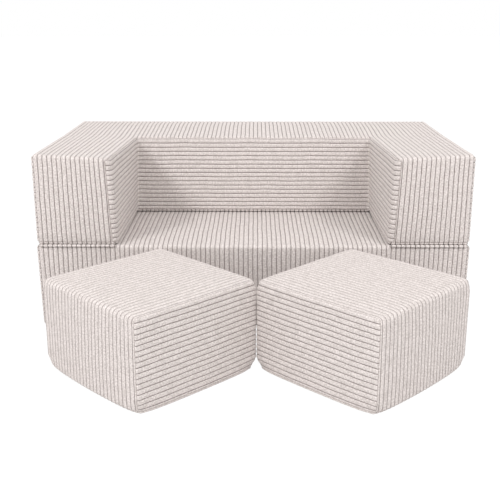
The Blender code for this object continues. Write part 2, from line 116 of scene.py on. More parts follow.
# How the stuffed blocks differ from straight ones
SEAT_TAPER = 0.0025
SEAT_FLARE = 0.001
SEAT_FLARE_REACH = 0.08
POUF_GROWTH = 0.052
POUF_END_BOW = 0.02
POUF_FRONT_BOW = 0.05
POUF_DRAWN_FLOOR = 0.065
POUF_DRAWN_TOP = 0.03
POUF_DRAWN_REACH = 0.028
POUF_DRAWN_POWER = 8
POUF_ZIP_CLEAR = 0.05
POUF_ZIP_END = 0.108
WELL_TOP_FRONT = 0.007
WELL_TOP_REAR = -0.006
WELL_FOOT = -0.002
WELL_LEAN = 0.014
ARM_LIFT_INSIDE = 0.005
ARM_LIFT_OUTSIDE = 0.014

# Fold seam
HINGE_BEAD_RADIUS = 0.0034
HINGE_TAIL = 0.005
HINGE_TAIL_ANGLE = math.radians(60)
HINGE_PILE = 0.0022
HINGE_STEPS = 22

# Zips
ZIP_SLOT_WIDTH = 0.012
ZIP_HEIGHT = 0.034
LONG_ZIP = 0.80
POUF_ZIP = 0.20
ZIP_CHAIN_RISE = 0.0016
ZIP_CHAIN_HALF = 0.002
ZIP_TAPE_STEPS = 4
ZIP_PITCH = 0.0019
ZIP_COIL = 0.00085
ZIP_COIL_SIDES = 6
ZIP_LEAN = math.radians(14)

# A turn of the coil: tip and rise as shares of ZIP_COIL, length and place aside as shares of ZIP_CHAIN_HALF
ZIP_TURN_TIP = 0.7
ZIP_TURN_RISE = 0.8
ZIP_TURN_LENGTH = 1.4
ZIP_TURN_ASIDE = 0.45

# The foam and its simulated swell
FOAM_VOXEL = 0.009
SWELL_FRAMES = 20
SWELL_PRESSURE = 4.0
SWELL_SOFTNESS = 0.004
SEAM_HOLD = 0.013
FOAM_INSET = 0.004
NEAR_POINTS = 8
EVENING_ROUNDS = 4

# Drift of the wales: turns along and across per metre, in radians, and each wave's share
WANDER_WAVES = ((37, 11, 1.0), (71, -23, 0.7), (118, 57, 0.4))

# Where that drift starts on each kind of panel
WRAP_PHASE = 1.0
END_PHASE = 2.0
BOTTOM_PHASE = 4.0
PLATE_PHASE = 5.0
GUSSET_PHASE = 7.0

# Colours
PALE_PILE = (0.66, 0.605, 0.585, 1.0)
DEEP_PILE = (0.46, 0.415, 0.395, 1.0)
# Painted shade: the grooves' colour, far darker than the pile, stands in for the shade that falls in them
GROOVE_PAINTED_SHADE = (0.13, 0.10, 0.095, 1.0)
PILE_SHEEN = (1.0, 0.965, 0.95, 1.0)
DULL_FOAM = (0.80, 0.72, 0.50, 1.0)
FRESH_FOAM = (0.90, 0.85, 0.68, 1.0)
FOAM_PORE = (0.55, 0.47, 0.28, 1.0)
DULL_NICKEL = (0.60, 0.585, 0.56, 1.0)
BRIGHT_NICKEL = (0.70, 0.69, 0.67, 1.0)
DARK_TAPE = (0.52, 0.44, 0.41, 1.0)
PALE_TAPE = (0.68, 0.60, 0.57, 1.0)
FLOOR_GREY = (0.75, 0.75, 0.75, 1.0)

# The pile's fleck: noise per metre across and along the wales, and its detail
TUFTS = (420, 290, 2.0)
PATCHES = (90, 60, 2.0)
HAIRS = (1500, 1300, 1.0)
PATCH_WEIGHT = 0.2
TUFT_WEIGHT = 0.8
TUFT_HEIGHT = 0.7
HAIR_HEIGHT = 0.3
# Painted shade in the grooves: where it starts, as a share of the way from ridge to groove, and how far it darkens
# the pile
PAINTED_SHADE_START = 0.76
PAINTED_SHADE_STRENGTH = 0.95

# Patterns on the other materials, per metre
FOAM_CELLS = 420.0
FOAM_PATCHES = 14.0
NICKEL_MARKS = 900.0
TAPE_WEAVE = 600.0

# Studio. A lamp has a name, azimuth and elevation in degrees, width and level
FLOOR_SIZE = 12.0
FLOOR_DROP = 0.0003
FLOOR_GLOW = 0.93
GLOW_STRENGTH = 1.05
LAMP_AWAY = 9.0
LAMP_TARGET = (0, -0.3, 0.2)
LAMPS = (("key", -44, 38, 1.6, 0.43), ("fill", 42, 40, 2.2, 0.32), ("top", 0, 88, 3.0, 0.08))

# Camera: its place, and how far it looks down and to the left, in degrees
CAMERA_LENS = 61.03
CAMERA_SENSOR = 36
CAMERA_PLACE = (0.0049, -2.1694, 0.7687)
CAMERA_DOWN = 17.19
CAMERA_LEFT = 0.36

fold = next(joint for joint in frame["joints"] if joint["name"] == "back_fold")
HINGE_Z = fold["pos_m"][2]
FRONT_Y = fold["pos_m"][1]
SIDE_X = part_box("seat_right_side_panel")[1].x
REAR_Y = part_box("back_outer_gusset")[1].y - FRONT_CROWN
FACE_Y = FRONT_Y + FRONT_CROWN
BACK_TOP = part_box("back_top_panel")[1].z - TOP_CROWN / 2
CAVITY_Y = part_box("left_arm_foam_core")[1].y + GAP / 2 - SKIN


class Path:
    """A flat outline of straight runs joined by arcs, walked with the block on its left."""

    def __init__(self, corners, radii):
        corners = [np.array(corner, float) for corner in corners]
        self.runs, self.arcs = [], []
        length = 0.0
        spot = corners[0]
        for number, radius in enumerate(radii, start=1):
            before = corners[number] - corners[number - 1]
            after = corners[number + 1] - corners[number]
            heading = math.atan2(before[1], before[0])
            turn = math.atan2(after[1], after[0]) - heading
            turn = (turn + math.pi) % (2 * math.pi) - math.pi
            cut = radius * math.tan(abs(turn) / 2)
            tangent = corners[number] - before / np.linalg.norm(before) * cut
            length = self.add(length, spot, heading, 0.0, np.linalg.norm(tangent - spot))
            self.arcs.append((length, length + radius * abs(turn)))
            length = self.add(length, tangent, heading, math.copysign(1 / radius, turn), radius * abs(turn))
            spot = corners[number] + after / np.linalg.norm(after) * cut
        rest = corners[-1] - spot
        self.length = self.add(length, spot, math.atan2(rest[1], rest[0]), 0.0, np.linalg.norm(rest))

    def add(self, start, point, heading, bend, run):
        self.runs.append((start, *point, heading, bend))
        return start + run

    def at(self, along):
        """Points on the outline and its outward normals, at these distances along it."""
        starts, *columns = (np.array(column) for column in zip(*self.runs))
        number = np.clip(np.searchsorted(starts, along, side="right") - 1, 0, None)
        x, y, heading, bend = (column[number] for column in columns)
        run = along - starts[number]
        turned = heading + bend * run
        arc = np.where(bend == 0, 1.0, bend)
        east = np.where(bend == 0, run * np.cos(heading), (np.sin(turned) - np.sin(heading)) / arc)
        north = np.where(bend == 0, run * np.sin(heading), (np.cos(heading) - np.cos(turned)) / arc)
        return np.stack([x + east, y + north], 1), np.stack([np.sin(turned), -np.cos(turned)], 1)


def smooth(value):
    value = np.clip(value, 0, 1)
    return value * value * (3 - 2 * value)


def spaced(low, high, step):
    """Evenly spaced places from low up to, but without, high."""
    count = max(math.ceil((high - low) / step - STEP_SLACK), 1)
    return np.linspace(low, high, count, endpoint=False)


def cross_lines(low, high, breaks=(), arcs=(), step=RUN_STEP):
    """Places of the mesh lines across the wales: close together by seams and on arcs."""
    ends = [low, high, *breaks]
    stops = {low, high, *(stop for arc in arcs for stop in arc)}
    for end in ends:
        stops |= {end - SEAM_BAND, end, end + SEAM_BAND}
    stops = sorted(stop for stop in stops if low <= stop <= high)
    placed = []
    for start, finish in zip(stops, stops[1:]):
        middle = (start + finish) / 2
        if min(abs(middle - end) for end in ends) < SEAM_BAND:
            placed.append(spaced(start, finish, SEAM_STEP))
        elif any(first < middle < last for first, last in arcs):
            placed.append(spaced(start, finish, ARC_STEP))
        else:
            placed.append(spaced(start, finish, step))
    return np.concatenate([*placed, [high]])


def wale_lines(low, high, shares, breaks=()):
    """Places of the mesh lines along the wales: a few for each wale, with one down every groove."""
    ends = [low, high, *breaks]
    places = []
    for number in range(math.floor(low / WALE), math.ceil(high / WALE)):
        for share in shares:
            place = (number + share) * WALE
            if low < place < high and min(abs(place - end) for end in ends) > CLOSE:
                places.append(place)
    return np.array(sorted([*places, *ends]))


def over_rim(excess, radius):
    """Cloth that runs past the start of a rounded rim: how far it goes on, its drop and its tilt."""
    tilt = np.clip(excess, 0, None) / radius
    return radius * np.sin(tilt), radius * (1 - np.cos(tilt)), tilt


def round_rim(place, half, radius):
    """Places out from the middle, taken over the rims at half, with their side, their drop and their tilt."""
    on, drop, tilt = over_rim(np.abs(place) - (half - radius), radius)
    side = np.where(place < 0, -1, 1)
    return side * (np.minimum(np.abs(place), half - radius) + on), side, drop, tilt


def ridge_height(across):
    """How high a wale's ridge stands at these places across, as a share of its pile."""
    share = np.abs((across / WALE) % 1 * 2 - 1)
    return (1 - share**RIDGE_ROUNDNESS) ** (1 / RIDGE_ROUNDNESS)


def spread(across, along):
    """The places across and along of a grid's points, row by row."""
    return np.tile(across, len(along)), np.repeat(along, len(across))


def root(value):
    return np.sqrt(np.clip(value, 0, None))


def stacked(*columns):
    return np.stack(np.broadcast_arrays(*columns), 1)


class Box:
    """A box block in its own frame. Its cover wraps round X and has a panel at both X ends."""

    def __init__(self, half, low_y, high_y, top, foot, brow, rim, wrap):
        self.half, self.low_y, self.high_y, self.top = half, low_y, high_y, top
        self.foot, self.brow, self.rim = foot, brow, rim
        self.middle, self.half_y = (low_y + high_y) / 2, (high_y - low_y) / 2
        start = (self.middle, 0)
        corners = [start, (high_y, 0), (high_y, top), (low_y, top), (low_y, 0), start]
        self.path = Path(corners, [foot, brow, brow, foot])
        self.up_foot = foot * math.acos(1 - BOTTOM_SEAM_RISE / foot)
        self.up_rim = rim * math.acos(1 - BOTTOM_SEAM_RISE / rim)
        under = self.path.arcs[0][0] + self.up_foot
        self.along = (under, self.path.length - under)
        self.across = half - rim + rim * math.asin(1 - wrap / rim)
        self.end_wrap = rim * math.acos(1 - wrap / rim) - rim
        self.end_foot = foot - rim + rim * math.asin(1 - BOTTOM_SEAM_RISE / rim)

    def lay_wrap(self, across, along):
        x, side, drop, tilt = round_rim(across, self.half, self.rim)
        spot, out = self.path.at(along)
        normals = stacked(side * np.sin(tilt), *(out * np.cos(tilt)[:, None]).T)
        return stacked(x, *(spot - out * drop[:, None]).T), normals

    def lay_end(self, side):
        def lay(across, along):
            edge = np.where(across < self.top / 2, self.foot, self.brow)
            core_y = np.clip(along, self.low_y + edge, self.high_y - edge)
            core_z = np.clip(across, self.foot, self.top - self.brow)
            past_y, past_z = along - core_y, across - core_z
            past = np.hypot(past_y, past_z) + TINY
            way_y, way_z = past_y / past, past_z / past
            level = np.minimum(past, edge - self.rim)
            on, drop, tilt = over_rim(past - (edge - self.rim), self.rim)
            y = core_y + way_y * (level + on)
            z = core_z + way_z * (level + on)
            normals = stacked(side * np.cos(tilt), way_y * np.sin(tilt), way_z * np.sin(tilt))
            return stacked(side * (self.half - drop), y, z), normals

        return lay

    def end_reach(self, along, edge):
        past = np.abs(along - np.clip(along, self.low_y + edge, self.high_y - edge))
        return root((edge + self.end_wrap) ** 2 - past**2)

    def end_limits(self, along):
        low = self.foot - np.minimum(self.end_reach(along, self.foot), self.end_foot)
        return low, self.top - self.brow + self.end_reach(along, self.brow)

    def lay_bottom(self, across, along):
        x, side_x, drop_x, tilt_x = round_rim(across, self.half, self.rim)
        y, side_y, drop_y, tilt_y = round_rim(along - self.middle, self.half_y, self.foot)
        flat = np.cos(tilt_x) * np.cos(tilt_y)
        normals = stacked(side_x * np.sin(tilt_x), side_y * np.sin(tilt_y) * np.cos(tilt_x), -flat)
        return stacked(x, self.middle + y, drop_x + drop_y), normals

    def bottom_limits(self, along):
        start = self.half_y - self.foot
        share = np.clip((np.abs(along - self.middle) - start) / self.up_foot, 0, 1)
        reach = self.half - self.rim + self.up_rim * np.sqrt(1 - share**2)
        return -reach, reach

    def bottom_along(self):
        return self.low_y + self.foot - self.up_foot, self.high_y - self.foot + self.up_foot

    def foot_arcs(self, low, high):
        """The stretches along which a panel from low to high goes round the block's feet."""
        return (low, self.low_y + self.foot), (self.high_y - self.foot, high)


class Plate:
    """The U-shaped block's top or underside: flat, and rounded over the block's edges down to its seams."""

    def __init__(self, level, up, radius, runs_down):
        self.level, self.up, self.radius, self.runs_down = level, up, radius, runs_down
        self.turn = math.acos(1 - (TOP_SEAM_DROP if runs_down else SEAM_RISE) / radius)
        self.margin = radius * self.turn
        self.wall_row = CAVITY_Y + radius - self.margin
        self.rear = REAR_Y - radius + self.margin
        self.front = FACE_Y + radius - self.margin
        if runs_down:
            drop = abs(BACK_TOP - HINGE_Z) - radius - SEAM_RISE
            self.front = FACE_Y + radius - radius * math.pi / 2 - drop

    def wall(self, y):
        share = np.clip((y - FACE_Y) / (CAVITY_Y - FACE_Y), 0, 1)
        return CAVITY_HALF_FRONT + (CAVITY_HALF_REAR - CAVITY_HALF_FRONT) * share

    def front_radius(self, phi, corner):
        return self.radius + (corner - self.radius) * phi / (math.pi / 2)

    def limits(self, along):
        """Inner and outer edge of the cloth, as distances from the middle, in the rows at along."""
        radius = self.radius
        wall = self.wall(along)
        fillet = CAVITY_FILLET + radius
        deep = np.clip(fillet - (CAVITY_Y + radius - along), 0, None)
        inner = wall - CAVITY_FILLET + root((fillet - self.margin) ** 2 - deep**2)
        past = np.clip(along - (REAR_Y - OUTER_CORNER), 0, None)
        if not self.runs_down:
            past = past + np.clip(FACE_Y + OUTER_CORNER - along, 0, None)
            ahead = np.clip(FACE_Y + INNER_CORNER - along, 0, None)
            swing = root((INNER_CORNER - radius + self.margin) ** 2 - ahead**2)
            inner = np.where(ahead > 0, wall + INNER_CORNER - swing, inner)
        reach = OUTER_CORNER - radius + self.margin
        outer = SIDE_X - OUTER_CORNER + root(reach**2 - past**2)
        if self.runs_down:
            phi = np.clip((FACE_Y + radius - along) / radius, 0, math.pi / 2)
            over = np.arccos(np.clip(math.cos(self.turn) / np.maximum(np.cos(phi), TINY), 0, 1))
            outer_tilt = np.arctan(math.tan(math.asin(1 - END_PANEL_WRAP / OUTER_CORNER)) * np.sin(phi))
            inner_tilt = np.arctan(math.tan(math.asin(1 - GUSSET_WRAP / INNER_CORNER)) * np.sin(phi))
            outer_bend = self.front_radius(phi, OUTER_CORNER)
            inner_bend = self.front_radius(phi, INNER_CORNER)
            outer = np.where(phi > 0, SIDE_X - outer_bend * (1 - np.maximum(over, outer_tilt)), outer)
            inner = np.where(phi > 0, wall + inner_bend * (1 - np.maximum(over, inner_tilt)), inner)
        return inner, outer

    def lay(self, across, along):
        radius = self.radius
        side = np.where(across < 0, -1, 1)
        x, y = np.abs(across), along
        wall = self.wall(y)
        near_outside = x > (wall + SIDE_X) / 2
        corner = np.where(near_outside | (y > CAVITY_Y), OUTER_CORNER, INNER_CORNER)
        past_x = np.clip(x - (SIDE_X - OUTER_CORNER), 0, None)
        past_y = np.clip(y - (REAR_Y - OUTER_CORNER), 0, None)
        ahead = np.zeros_like(x)
        if not self.runs_down:
            ahead = np.clip(FACE_Y + corner - y, 0, None)
            past_x = past_x - np.where(ahead > 0, np.clip(wall + INNER_CORNER - x, 0, None), 0)
            past_y = past_y - ahead
        past = np.hypot(past_x, past_y) + TINY
        way_x, way_y = past_x / past, past_y / past
        excess = np.clip(past - (corner - radius), 0, None)

        fillet = CAVITY_FILLET + radius
        left_x = np.clip(fillet - (wall + radius - x), 0, None)
        left_y = np.clip(fillet - (CAVITY_Y + radius - y), 0, None)
        left = np.hypot(left_x, left_y) + TINY
        into = np.where(ahead > 0, 0, np.clip(fillet - left, 0, None))
        way_x = np.where(into > 0, -left_x / left, way_x)
        way_y = np.where(into > 0, -left_y / left, way_y)
        excess = np.where(into > 0, into, excess)

        on, drop, tilt = over_rim(excess, radius)
        flat_x = x + way_x * (on - excess)
        flat_y = y + way_y * (on - excess)
        points = stacked(side * flat_x, flat_y, self.level - self.up * drop)
        lean = np.sin(tilt)
        normals = stacked(side * way_x * lean, way_y * lean, self.up * np.cos(tilt))
        if self.runs_down:
            front_points, front_normals = self.lay_front(x, y, side, wall)
            ahead = (y < FACE_Y + radius)[:, None]
            points = np.where(ahead, front_points, points)
            normals = np.where(ahead, front_normals, normals)
        return points, normals

    def lay_front(self, x, y, side, wall):
        """Over the rounded front edge and straight down the arm's face."""
        radius = self.radius
        past = FACE_Y + radius - y
        phi = np.clip(past / radius, 0, math.pi / 2)
        below = np.clip(past - radius * math.pi / 2, 0, None)
        outer_bend = self.front_radius(phi, OUTER_CORNER)
        inner_bend = self.front_radius(phi, INNER_CORNER)
        outer = x - (SIDE_X - outer_bend)
        inner = wall + inner_bend - x
        way = np.where(outer > inner, 1, -1)
        on, drop, tilt = over_rim(np.maximum(outer, inner), np.where(way > 0, outer_bend, inner_bend))
        core = np.clip(x, wall + inner_bend, SIDE_X - outer_bend)
        path_y = FACE_Y + radius - radius * np.sin(phi)
        path_z = self.level - radius * (1 - np.cos(phi)) - below
        points = stacked(
            side * (core + way * on), path_y + np.sin(phi) * drop, path_z - np.cos(phi) * drop
        )
        lean = np.cos(tilt)
        normals = stacked(side * way * np.sin(tilt), -lean * np.sin(phi), lean * np.cos(phi))
        return points, normals


class Gusset:
    """An upright strip round the U-shaped block, between its bottom and top seams. It is given as half of its
    outline, from an end to the middle."""

    def __init__(self, half, radii):
        self.path = Path([*half, *((-x, y) for x, y in reversed(half))], [*radii, *reversed(radii)])
        self.low_tilt = math.asin(1 - SEAM_RISE / BACK_BOTTOM_RADIUS)
        self.high_tilt = math.asin(1 - TOP_SEAM_DROP / BACK_TOP_RADIUS)
        self.low = BACK_BOTTOM_RADIUS * self.low_tilt
        self.straight = BACK_TOP - BACK_TOP_RADIUS - HINGE_Z - BACK_BOTTOM_RADIUS
        self.height = self.low + self.straight + BACK_TOP_RADIUS * self.high_tilt

    def lay(self, across, along):
        spot, out = self.path.at(along)
        down, drop_low, tilt_low = over_rim(self.low - across, BACK_BOTTOM_RADIUS)
        rise, drop_high, tilt_high = over_rim(across - self.low - self.straight, BACK_TOP_RADIUS)
        drop = drop_low + drop_high
        z = HINGE_Z + BACK_BOTTOM_RADIUS + np.clip(across - self.low, 0, self.straight) - down + rise
        flat = np.cos(tilt_low) * np.cos(tilt_high)
        normals = stacked(*(out * flat[:, None]).T, np.sin(tilt_high) - np.sin(tilt_low))
        return stacked(*(spot - out * drop[:, None]).T, z), normals


class Node:
    """A shader socket that takes part in Python arithmetic."""

    def __init__(self, material, socket):
        self.material, self.socket = material, socket

    def __add__(self, other):
        return self.material.maths("ADD", self, other)

    def __sub__(self, other):
        return self.material.maths("SUBTRACT", self, other)

    def __rsub__(self, other):
        return self.material.maths("SUBTRACT", other, self)

    def __mul__(self, other):
        return self.material.maths("MULTIPLY", self, other)

    __radd__ = __add__
    __rmul__ = __mul__


class Material:
    """A material whose nodes are written as Python expressions."""

    def __init__(self, name, **fixed):
        self.made = bpy.data.materials.new(name)
        self.made.use_nodes = True
        self.tree = self.made.node_tree
        self.surface = self.tree.nodes["Principled BSDF"]
        for socket, value in fixed.items():
            self.surface.inputs[socket.replace("_", " ")].default_value = value

    def node(self, kind, settings=None, sockets=None, out=0):
        """A new node's output, with its settings and the values or links of its sockets."""
        made = self.tree.nodes.new(kind)
        for name, value in (settings or {}).items():
            setattr(made, name, value)
        for socket, value in (sockets or {}).items():
            self.feed(made.inputs[socket], value)
        return Node(self, made.outputs[out])

    def feed(self, socket, value):
        if isinstance(value, Node):
            self.tree.links.new(value.socket, socket)
        else:
            socket.default_value = value

    def set(self, socket, value):
        self.feed(self.surface.inputs[socket], value)

    def maths(self, operation, *values):
        return self.node("ShaderNodeMath", {"operation": operation}, dict(enumerate(values)))

    def mix(self, share, first, second):
        """A colour from first to second as share goes from 0 to 1."""
        settings = {"data_type": "RGBA", "clamp_factor": True}
        # The node takes its two colours at sockets 6 and 7, and gives a colour at 2
        return self.node("ShaderNodeMix", settings, {0: share, 6: first, 7: second}, out=2)

    def noise(self, vector, scale, detail=2.0):
        return self.node("ShaderNodeTexNoise", sockets={"Vector": vector, "Scale": scale, "Detail": detail})

    def remap(self, value, low, high, to_low=0.0, to_high=1.0):
        settings = {"interpolation_type": "SMOOTHSTEP"}
        sockets = {0: value, 1: low, 2: high, 3: to_low, 4: to_high}
        return self.node("ShaderNodeMapRange", settings, sockets)

    def bump(self, height, distance, strength):
        sockets = {"Height": height, "Distance": distance, "Strength": strength}
        self.set("Normal", self.node("ShaderNodeBump", sockets=sockets))


def corduroy():
    """Cut pile in wide wales: pale ridges, painted shade darkening the grooves, and a soft mottle where the pile
    leans.
    """
    made = Material(
        "corduroy", Roughness=0.86, Sheen_Weight=0.10, Sheen_Roughness=0.45, Sheen_Tint=PILE_SHEEN,
        Specular_IOR_Level=0.18,
    )
    cloth = made.node("ShaderNodeUVMap", {"uv_map": "cloth"})
    across, along = (made.node("ShaderNodeSeparateXYZ", sockets={0: cloth}, out=axis) for axis in "XY")
    share = made.maths("FRACT", across * (1 / WALE))
    from_ridge = made.maths("ABSOLUTE", share - 0.5) * 2
    # Painted shade: a mask that grows towards each groove's middle
    groove = made.remap(from_ridge, PAINTED_SHADE_START, 1.0)

    flecks = []
    for per_width, per_length, detail in (TUFTS, PATCHES, HAIRS):
        place = made.node("ShaderNodeCombineXYZ", sockets={0: across * per_width, 1: along * per_length})
        flecks.append(made.noise(place, 1.0, detail))
    tufts, patches, hairs = flecks

    lean = made.remap(patches * PATCH_WEIGHT + tufts * TUFT_WEIGHT, low=0.38, high=0.62)
    pile = made.mix(lean, DEEP_PILE, PALE_PILE)
    # Painted shade: the pile colour is darkened towards each groove's middle
    made.set("Base Color", made.mix(groove * PAINTED_SHADE_STRENGTH, pile, GROOVE_PAINTED_SHADE))
    made.bump(tufts * TUFT_HEIGHT + hairs * HAIR_HEIGHT, distance=0.0011, strength=0.8)
    return made.made


def foam():
    """Open-cell foam, yellowish, with dark pores."""
    made = Material("open_cell_foam", Roughness=0.9)
    place = made.node("ShaderNodeTexCoord", out="Object")
    cells = made.node("ShaderNodeTexVoronoi", sockets={"Vector": place, "Scale": FOAM_CELLS})
    tone = made.mix(made.noise(place, FOAM_PATCHES, detail=3.0), DULL_FOAM, FRESH_FOAM)
    made.set("Base Color", made.mix(made.remap(cells, low=0.35, high=0.0), tone, FOAM_PORE))
    made.bump(cells, distance=0.0008, strength=0.6)
    return made.made


def nickel():
    """Plated metal with fine marks, for the sliders and pulls."""
    made = Material("zip_nickel", Metallic=1.0)
    marks = made.noise(made.node("ShaderNodeTexCoord", out="Object"), NICKEL_MARKS)
    made.set("Roughness", made.remap(marks, low=0.3, high=0.7, to_low=0.24, to_high=0.38))
    made.set("Base Color", made.mix(marks, DULL_NICKEL, BRIGHT_NICKEL))
    return made.made


def zip_cloth():
    """Woven tape, with the zip's coil in its colour."""
    made = Material("zip_tape", Roughness=0.85)
    place = made.node("ShaderNodeTexCoord", out="Object")
    weave = made.node("ShaderNodeTexWave", {"wave_type": "BANDS"}, {"Vector": place, "Scale": TAPE_WEAVE})
    made.set("Base Color", made.mix(weave, DARK_TAPE, PALE_TAPE))
    made.bump(weave, distance=0.0003, strength=0.5)
    return made.made


CORDUROY = corduroy()
FOAM = foam()
NICKEL = nickel()
ZIP_CLOTH = zip_cloth()


class Stuffing:
    """A block's foam, and how far it pushes the cover out, as a share of its crown."""

    def __init__(self, form, body, crown, warp, place):
        self.form, self.body, self.crown, self.warp, self.place = form, body, crown, warp, place

    def set_down(self, points):
        """Points of the straight block, given its real shape and put in their place."""
        return moved_by(self.place, self.warp(points))

    def settle(self):
        """Reads the simulated swell, and leaves the foam just inside its cover."""
        mesh = self.form.data
        rest = read_vectors(mesh, "co")
        normals = read_vectors(mesh, "normal")
        self.share = np.zeros(len(rest))
        swollen = self.form.evaluated_get(bpy.context.evaluated_depsgraph_get()).data
        out = ((read_vectors(swollen, "co") - rest) * normals).sum(1)
        self.share = evened(1 - np.exp(-np.clip(out, 0, None) / SWELL_SOFTNESS), mesh)
        self.tree = kdtree.KDTree(len(rest))
        for number, point in enumerate(moved_by(self.place.inverted(), rest)):
            self.tree.insert(point, number)
        self.tree.balance()
        self.form.modifiers.clear()
        inset = self.set_down(moved_by(self.place.inverted(), rest - normals * FOAM_INSET))
        mesh.vertices.foreach_set("co", inset.ravel())
        mesh.update()

    def push(self, points, normals, edge):
        """How far the foam pushes the cover out at these points, given as its block has them."""
        share = np.array([self.share_at(point) for point in points])
        return self.crown(points, normals) * share

    def share_at(self, point):
        near = self.tree.find_n(point, NEAR_POINTS)
        weights = [math.exp(-((away / FOAM_VOXEL) ** 2)) for _, _, away in near]
        total = sum(weight * self.share[number] for weight, (_, number, _) in zip(weights, near))
        return total / sum(weights)


def read_vectors(mesh, name):
    flat = np.zeros(len(mesh.vertices) * 3)
    mesh.vertices.foreach_get(name, flat)
    return flat.reshape(-1, 3)


def moved_by(matrix, points):
    matrix = np.array(matrix)
    return points @ matrix[:3, :3].T + matrix[:3, 3]


def evened(values, mesh):
    """The values with each drawn towards its neighbours', a few times over."""
    ends = np.array([edge.vertices[:] for edge in mesh.edges])
    first, second = ends.T
    count = np.bincount(ends.ravel(), minlength=len(values))
    for _ in range(EVENING_ROUNDS):
        total = np.bincount(first, values[second], len(values))
        total += np.bincount(second, values[first], len(values))
        values = (values + total / count) / 2
    return values


def mesh_of(bm, name):
    """A new mesh made from bm, which is freed."""
    mesh = bpy.data.meshes.new(name)
    bm.to_mesh(mesh)
    bm.free()
    return mesh


def dress(mesh, material):
    mesh.materials.clear()
    mesh.materials.append(material)


def add_object(name, data):
    made = bpy.data.objects.new(name, data)
    bpy.context.collection.objects.link(made)
    return made


def add_piece(name, mesh, body, material):
    """A finished piece of the sofa, which rides on one of its bodies."""
    made = add_object(name, mesh)
    dress(mesh, material)
    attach(made, body)
    return made


def stuffing(body, nodes, held, crown, warp, place=Matrix.Identity(4)):
    """A block's foam, remeshed evenly, with Cloth that swells it between the seams that hold it."""
    bm = bmesh.new()
    for node in nodes:
        bm.from_mesh(frame["nodes"][node].data)
    bmesh.ops.remove_doubles(bm, verts=bm.verts, dist=CORE_MERGE)
    made = add_piece(body + "_foam", mesh_of(bm, body + "_foam"), body, FOAM)
    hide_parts(*nodes)
    even = made.modifiers.new("even", "REMESH")
    even.mode = "VOXEL"
    even.voxel_size = FOAM_VOXEL
    graph = bpy.context.evaluated_depsgraph_get()
    made.data = bpy.data.meshes.new_from_object(made.evaluated_get(graph))
    made.modifiers.clear()
    dress(made.data, FOAM)
    made.data.shade_smooth()
    local = moved_by(place.inverted(), read_vectors(made.data, "co"))
    group = made.vertex_groups.new(name="seams")
    group.add([int(number) for number in np.flatnonzero(held(local))], 1.0, "REPLACE")
    cloth = made.modifiers.new("stuffing", "CLOTH")
    cloth.settings.vertex_group_mass = "seams"
    cloth.settings.use_pressure = True
    cloth.settings.uniform_pressure_force = SWELL_PRESSURE
    cloth.settings.effector_weights.gravity = 0
    cloth.point_cache.frame_start = 1
    cloth.point_cache.frame_end = SWELL_FRAMES
    return Stuffing(made, body, crown, warp, place)


def simulate(blocks):
    """Runs the cloth simulation, and then settles each block's foam."""
    for number in range(1, SWELL_FRAMES + 1):
        bpy.context.scene.frame_set(number)
    for block in blocks:
        block.settle()
    bpy.context.scene.frame_set(1)


def box_held(half, low_y, high_y, top, resting=None):
    """Where a box block's cover can't swell: along its seams, underneath, and where a block rests on it."""

    def held(points):
        x, y, z = points.T
        rim = half - np.abs(x) < SEAM_HOLD
        wall = np.minimum(np.minimum(y - low_y, high_y - y), top - z) < SEAM_HOLD
        fixed = (rim & wall) | (z < SEAM_HOLD)
        return fixed | resting(x, y, z) if resting else fixed

    return held


def under_the_back(x, y, z):
    beside_well = (np.abs(x) > CAVITY_HALF_REAR - SEAM_HOLD) | (y > CAVITY_Y - SEAM_HOLD)
    return (z > HINGE_Z - SEAM_HOLD) & beside_well


def back_held(points):
    """Where the U-shaped block's cover can't swell."""
    x, y, z = points.T
    width = np.abs(x)
    wall = CAVITY_HALF_FRONT + (CAVITY_HALF_REAR - CAVITY_HALF_FRONT) * (y - FACE_Y) / (CAVITY_Y - FACE_Y)
    in_arm = y < CAVITY_Y
    inner = np.where(in_arm, width - wall, np.where(width < wall, y - CAVITY_Y, np.inf))
    outer = np.minimum(SIDE_X - width, REAR_Y - y)
    edge = np.minimum(np.minimum(inner, outer), np.where(width > wall, y - FACE_Y, np.inf))
    rim = (edge < SEAM_HOLD) & (BACK_TOP - z < SEAM_HOLD)
    corner = (y - FACE_Y < SEAM_HOLD) & (np.minimum(SIDE_X - width, width - wall) < SEAM_HOLD)
    return rim | corner | (z - HINGE_Z < SEAM_HOLD)


def crown_by_side(normals, top, side, front):
    """A crown height that goes smoothly from one face of a block to the next."""
    up = top * np.clip(normals[:, 2], 0, 1) ** 2
    return up + side * normals[:, 0] ** 2 + front * normals[:, 1] ** 2


def seat_crown(points, normals):
    x, y, _ = points.T
    beside_well = np.minimum(CAVITY_HALF_REAR - np.abs(x), CAVITY_Y - y)
    top = TOP_CROWN * smooth(beside_well / WELL_FADE)
    return crown_by_side(normals, top, SIDE_CROWN, FRONT_CROWN)


def back_crown(points, normals):
    x, y, _ = points.T
    faces_well = (x * normals[:, 0] < 0) | ((normals[:, 1] < 0) & (y > CAVITY_Y / 2))
    side = np.where(faces_well, CAVITY_CROWN, SIDE_CROWN)
    front = np.where(faces_well, CAVITY_CROWN, FRONT_CROWN)
    return crown_by_side(normals, TOP_CROWN, side, front)


def pouf_crown(points, normals):
    return crown_by_side(normals, TOP_CROWN, SIDE_CROWN, SIDE_CROWN)


def seat_warp(points):
    """The seat's ends stand out a little more at the top than at the floor."""
    x, y, z = points.T
    rise = np.clip(z / HINGE_Z, 0, 1)
    near_end = smooth((np.abs(x) - SIDE_X) / SEAT_FLARE_REACH + 1)
    return stacked(x + np.sign(x) * near_end * (SEAT_FLARE * rise - SEAT_TAPER * (1 - rise)), y, z)


